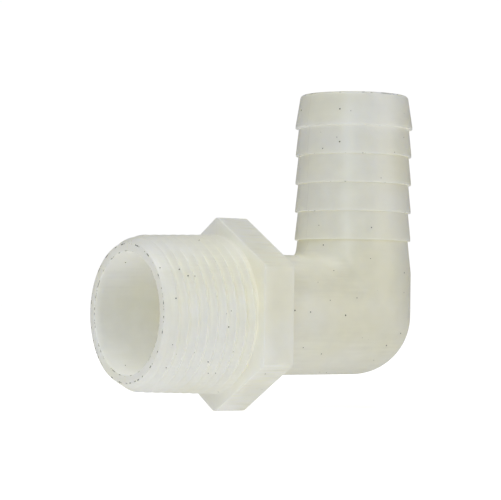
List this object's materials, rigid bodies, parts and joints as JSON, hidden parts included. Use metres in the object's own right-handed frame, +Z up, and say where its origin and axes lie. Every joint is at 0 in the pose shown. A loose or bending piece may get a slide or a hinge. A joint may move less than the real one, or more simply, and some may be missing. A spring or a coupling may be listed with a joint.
{
  "type": "elbow hose fitting",
  "caption": "Right-angle pipe-to-hose elbow in natural nylon: a taper-threaded spigot and wrench hexagon turn the water up into a barbed hose tail.",
  "frame": {"origin": "centre of the open threaded end, on the thread's axis: the small end of the taper thread", "axes": "+X runs into the fitting along the thread axis, so the threaded end faces -X; +Z runs up the hose tail, parallel to its axis; the wrench flats face -Y and +Y"},
  "size_m": [0.0567, 0.0286, 0.055],
  "materials": {
    "natural_nylon": "moulded natural nylon, milky and slightly translucent, soft satin sheen"
  },
  "bodies": {
    "root": {"thread_spigot": "natural_nylon", "wrench_hex": "natural_nylon", "inlet_barrel": "natural_nylon", "elbow_corner": "natural_nylon", "hose_tail": "natural_nylon", "tail_nose": "natural_nylon"}
  },
  "joints": []
}
